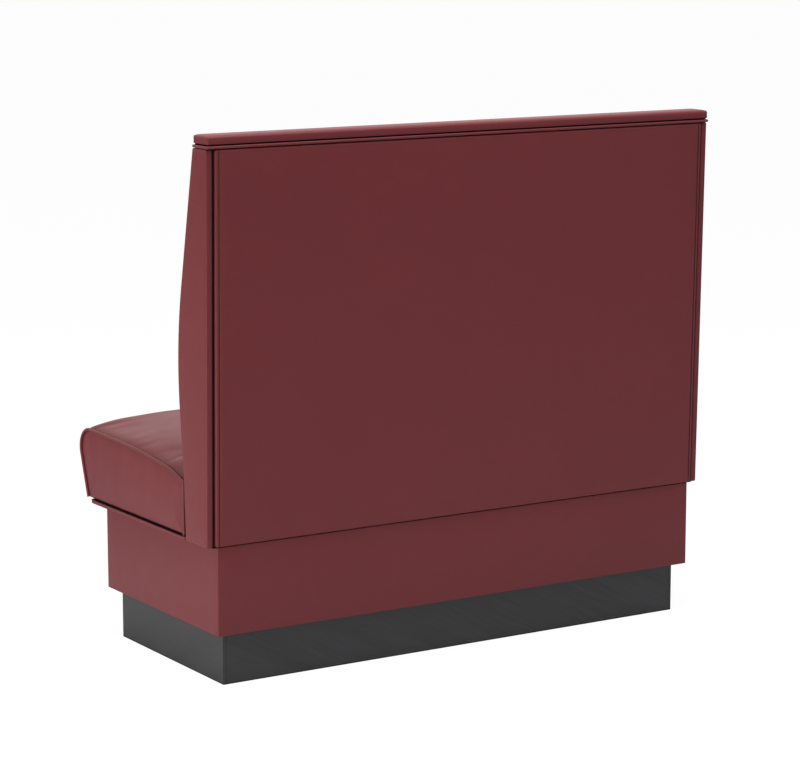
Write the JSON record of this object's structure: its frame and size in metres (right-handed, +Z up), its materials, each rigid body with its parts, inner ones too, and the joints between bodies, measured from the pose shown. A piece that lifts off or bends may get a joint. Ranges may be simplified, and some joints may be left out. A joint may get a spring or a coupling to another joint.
{
  "type": "restaurant booth seating",
  "caption": "Single-sided restaurant booth: padded vinyl back with a top cap, lift-out crowned seat with welted ends, wrapped box and a recessed laminate toe kick.",
  "frame": {"origin": "on the floor, under the middle of the booth's overall box", "axes": "+X along the bench to the end that is on the diner's left, +Y to the rear, away from the diner, +Z up"},
  "size_m": [1.171, 0.5728, 1.0585],
  "materials": {
    "burgundy_vinyl": "satin vinyl with a faint grain",
    "welt_vinyl": "satin vinyl over cord",
    "black_laminate": "charcoal wood-grain laminate",
    "plywood": "unfinished plywood with layered edges",
    "softwood": "sawn softwood",
    "hardboard": "brown hardboard",
    "foam": "cream open-cell foam",
    "jute_webbing": "woven webbing",
    "zinc_steel": "zinc-plated steel"
  },
  "bodies": {
    "root": {"back_board": "hardboard", "back_bolt_nuts": "zinc_steel", "back_bolt_washers": "zinc_steel", "back_bolts": "zinc_steel", "back_bottom_rail": "softwood", "back_cover": "burgundy_vinyl", "back_foam": "foam", "back_ribs": "plywood", "back_stretcher": "plywood", "back_top_rail": "plywood", "back_upright_left": "plywood", "back_upright_right": "plywood", "back_welt_left": "welt_vinyl", "back_welt_right": "welt_vinyl", "cap_board": "plywood", "cap_cover": "burgundy_vinyl", "cap_pad": "foam", "cap_spacer": "plywood", "cap_welt": "welt_vinyl", "floor_brackets": "zinc_steel", "outside_back_board": "hardboard", "outside_back_cover": "burgundy_vinyl", "riser_board_front": "plywood", "riser_board_left": "plywood", "riser_board_rear": "plywood", "riser_board_right": "plywood", "riser_bottom_rail_front": "softwood", "riser_bottom_rail_rear": "softwood", "riser_corner_blocks": "softwood", "riser_cover": "burgundy_vinyl", "riser_dividers": "plywood", "riser_ledger": "plywood", "toe_kick_cross_rails": "softwood", "toe_kick_face_front": "black_laminate", "toe_kick_face_left": "black_laminate", "toe_kick_face_rear": "black_laminate", "toe_kick_face_right": "black_laminate", "toe_kick_rail_front": "softwood", "toe_kick_rail_rear": "softwood", "wing_cover_left": "burgundy_vinyl", "wing_cover_right": "burgundy_vinyl"},
    "seat": {"seat_base_board": "burgundy_vinyl", "seat_cleats": "softwood", "seat_rail_rear": "plywood", "seat_rail_front": "plywood", "seat_rail_left": "plywood", "seat_rail_right": "plywood", "seat_cross_rails": "plywood", "seat_corner_blocks": "softwood", "seat_webbing_long": "jute_webbing", "seat_webbing_cross": "jute_webbing", "seat_foam": "foam", "seat_cover": "burgundy_vinyl", "seat_boxing_left": "burgundy_vinyl", "seat_boxing_right": "burgundy_vinyl", "seat_welt_left": "welt_vinyl", "seat_welt_right": "welt_vinyl"}
  },
  "joints": [
    {"name": "seat_lift", "type": "slide", "parent": "root", "child": "seat", "axis": [0, -0.342, 0.9397], "range_m": [0, 0.15]}
  ]
}
